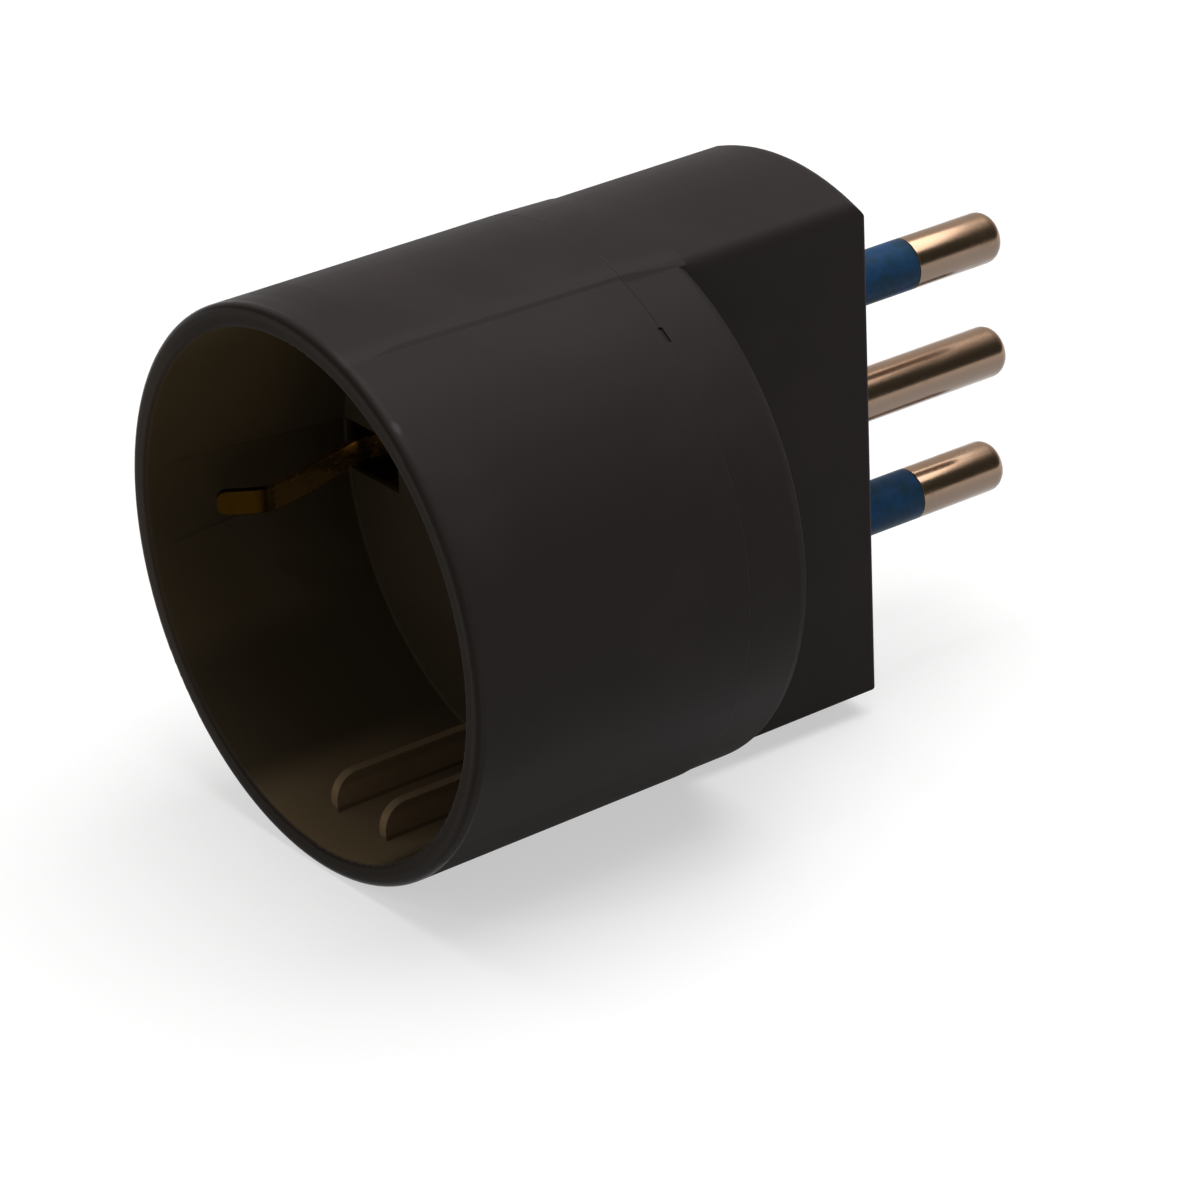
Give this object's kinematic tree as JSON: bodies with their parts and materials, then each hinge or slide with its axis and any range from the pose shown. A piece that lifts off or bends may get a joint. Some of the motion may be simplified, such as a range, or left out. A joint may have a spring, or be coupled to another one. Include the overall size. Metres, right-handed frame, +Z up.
{
  "type": "schuko adapter",
  "caption": "Round earthed socket with side clips and guide fins in front, joined in line to a flat-sided block with round plug pins for a narrow in-line outlet.",
  "frame": {"origin": "middle of the plug's seating face, where the earth pin leaves it", "axes": "+Y along the plug pins, away from the body; +Z up, from the neutral pin to the line pin; the socket opens towards -Y"},
  "size_m": [0.043, 0.0644, 0.0432],
  "materials": {
    "shell_plastic": "satin black, smooth moulding",
    "carrier_plastic": "plain moulding",
    "pin_metal": "polished, turned",
    "sleeve_plastic": "satin blue sleeve",
    "contact_metal": "pressed strip",
    "spring_steel": "spring band",
    "strap_metal": "pressed strip, polished at the clips"
  },
  "bodies": {
    "root": {"front_shell": "shell_plastic", "rear_shell": "shell_plastic", "contact_carrier": "carrier_plastic", "line_pin": "pin_metal", "neutral_pin": "pin_metal", "earth_pin": "pin_metal", "line_sleeve": "sleeve_plastic", "neutral_sleeve": "sleeve_plastic", "line_contact": "contact_metal", "neutral_contact": "contact_metal", "line_contact_spring": "spring_steel", "neutral_contact_spring": "spring_steel", "earth_strap": "strap_metal"}
  },
  "joints": []
}
